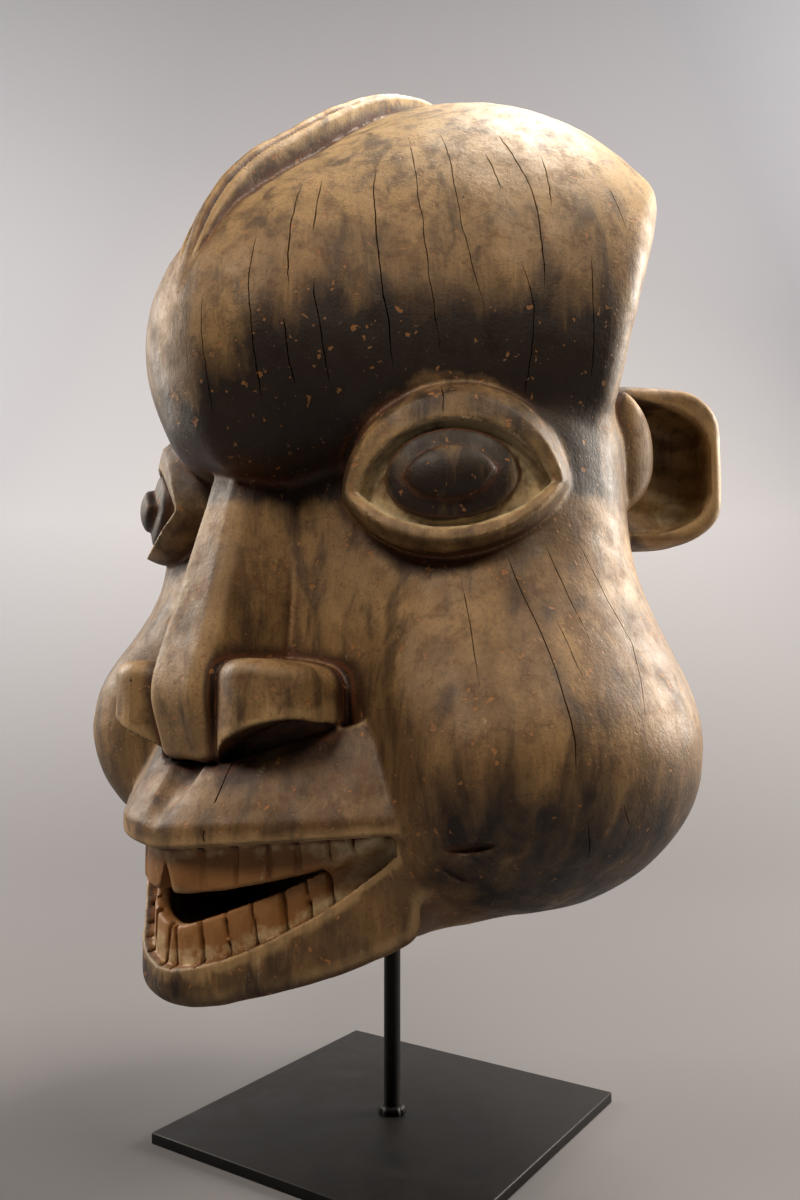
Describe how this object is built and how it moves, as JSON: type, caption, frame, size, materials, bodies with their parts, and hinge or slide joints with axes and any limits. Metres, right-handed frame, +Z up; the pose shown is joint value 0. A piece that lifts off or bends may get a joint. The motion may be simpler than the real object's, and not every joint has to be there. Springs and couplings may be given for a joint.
{
  "type": "bamun helmet mask on a display stand",
  "caption": "Carved wooden helmet mask with swollen cheeks, large eyes and bared teeth, hollow inside, on a steel rod with a square foot plate.",
  "frame": {"origin": "centre of the foot plate's underside, on the rod's axis", "axes": "+Z up along the rod; the mask looks along -Y; its left ear is on +X; the foot plate is turned 7.9 degrees about Z"},
  "size_m": [0.324, 0.2742, 0.5226],
  "materials": {
    "wood": "dark hand-polished wood with burnt bands and traces of kaolin",
    "steel": "black, semi-matt"
  },
  "bodies": {
    "root": {"mask": "wood", "stand_rod": "steel", "stand_plate": "steel"}
  },
  "joints": []
}
